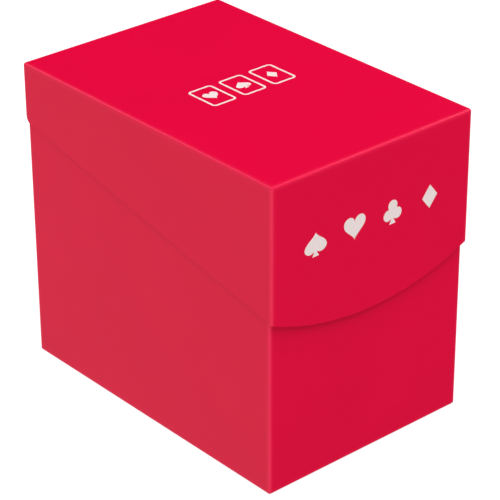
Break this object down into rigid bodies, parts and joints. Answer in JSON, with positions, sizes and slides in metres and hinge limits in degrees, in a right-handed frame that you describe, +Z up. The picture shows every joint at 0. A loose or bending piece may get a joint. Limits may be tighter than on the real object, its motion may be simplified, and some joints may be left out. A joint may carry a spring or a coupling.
{
  "type": "card deck box",
  "caption": "Folded plastic deck box with a flip-top lid on a living hinge and a loose card divider, for sleeved playing or trading cards.",
  "frame": {"origin": "centre of the closed box's bounding box, on the surface that the bottom rests on", "axes": "+Z up; -Y out of the narrow front with the lid's curved flap; +Y towards the hinge; +X to the right seen from the front"},
  "size_m": [0.0756, 0.1106, 0.098],
  "materials": {
    "red_polypropylene": "satin, fine grain, folded sheet",
    "frosted_polypropylene": "frosted, slightly translucent sheet"
  },
  "bodies": {
    "box": {"body_front_wall": "red_polypropylene", "body_left_wall": "red_polypropylene", "body_right_wall": "red_polypropylene", "body_back_wall": "red_polypropylene", "body_seam_flap": "red_polypropylene", "bottom_panel": "red_polypropylene", "bottom_tuck_tab": "red_polypropylene", "bottom_left_flap": "red_polypropylene", "bottom_right_flap": "red_polypropylene", "living_hinge": "red_polypropylene", "hinge_weld_strip": "red_polypropylene"},
    "lid": {"lid_top": "red_polypropylene", "lid_front_flap": "red_polypropylene", "lid_left_flap": "red_polypropylene", "lid_right_flap": "red_polypropylene", "lid_back_flap": "red_polypropylene", "lid_left_corner_tab": "red_polypropylene", "lid_right_corner_tab": "red_polypropylene"},
    "divider": {"card_divider": "frosted_polypropylene"}
  },
  "joints": [
    {"name": "lid_hinge", "type": "hinge", "parent": "box", "child": "lid", "pos_m": [0, 0.05525, 0.0804], "axis": [-1, 0, 0], "range_deg": [0, 180]},
    {"name": "divider_slide", "type": "slide", "parent": "box", "child": "divider", "axis": [0, -1, 0], "range_m": [0, 0.10605]}
  ]
}
